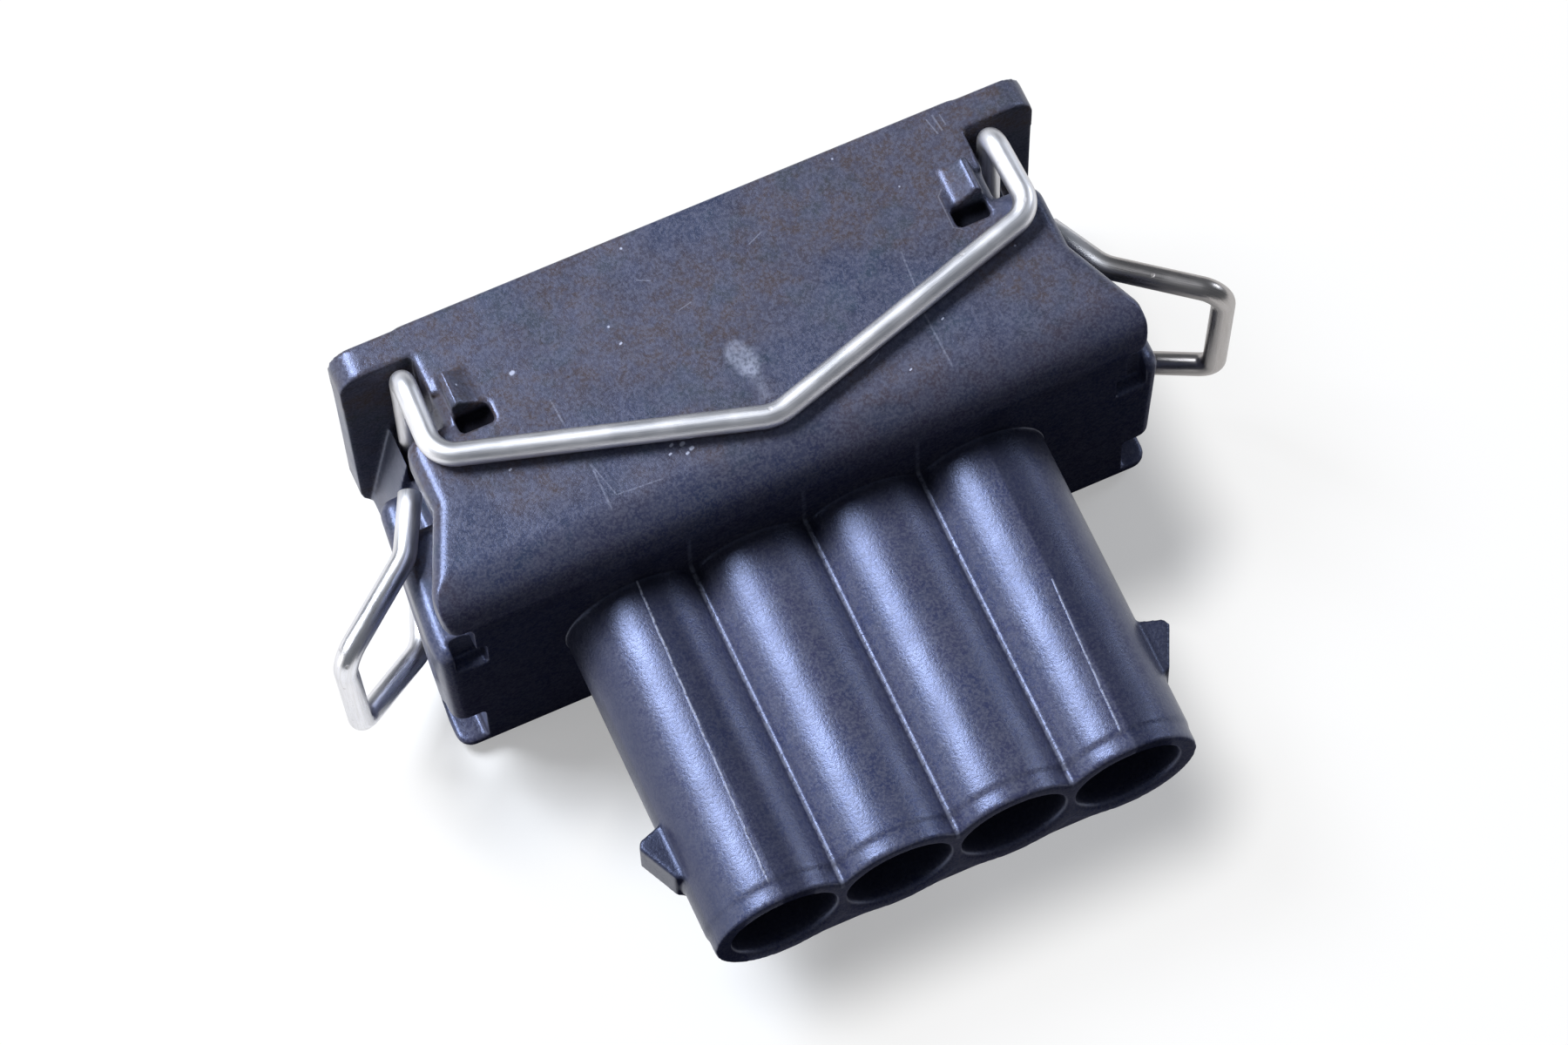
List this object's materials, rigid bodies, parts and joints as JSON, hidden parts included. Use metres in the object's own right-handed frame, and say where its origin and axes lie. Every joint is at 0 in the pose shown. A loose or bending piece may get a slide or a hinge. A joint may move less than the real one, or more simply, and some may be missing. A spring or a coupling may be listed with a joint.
{
  "type": "sealed automotive connector plug housing",
  "caption": "Flat black connector plug housing with a row of round wire-seal tubes, a rimmed rectangular hood and a bent wire retaining spring with side ears.",
  "frame": {"origin": "middle of the footprint, on the plane of the flat back face", "axes": "+X across the row of circuits, +Y along the mating axis towards the hood, +Z from the back face to the front face with the spring's V"},
  "size_m": [0.0476, 0.033, 0.0183],
  "materials": {
    "housing_plastic": "satin, fine moulded grain",
    "spring_wire": "drawn stainless wire, bright",
    "seal_rubber": "matte silicone"
  },
  "bodies": {
    "plug": {"housing": "housing_plastic", "interface_seal": "seal_rubber"},
    "spring": {"wire_spring": "spring_wire"}
  },
  "joints": [
    {"name": "spring_travel", "type": "slide", "parent": "plug", "child": "spring", "axis": [0, -1, 0], "range_m": [0, 0.0007]}
  ]
}
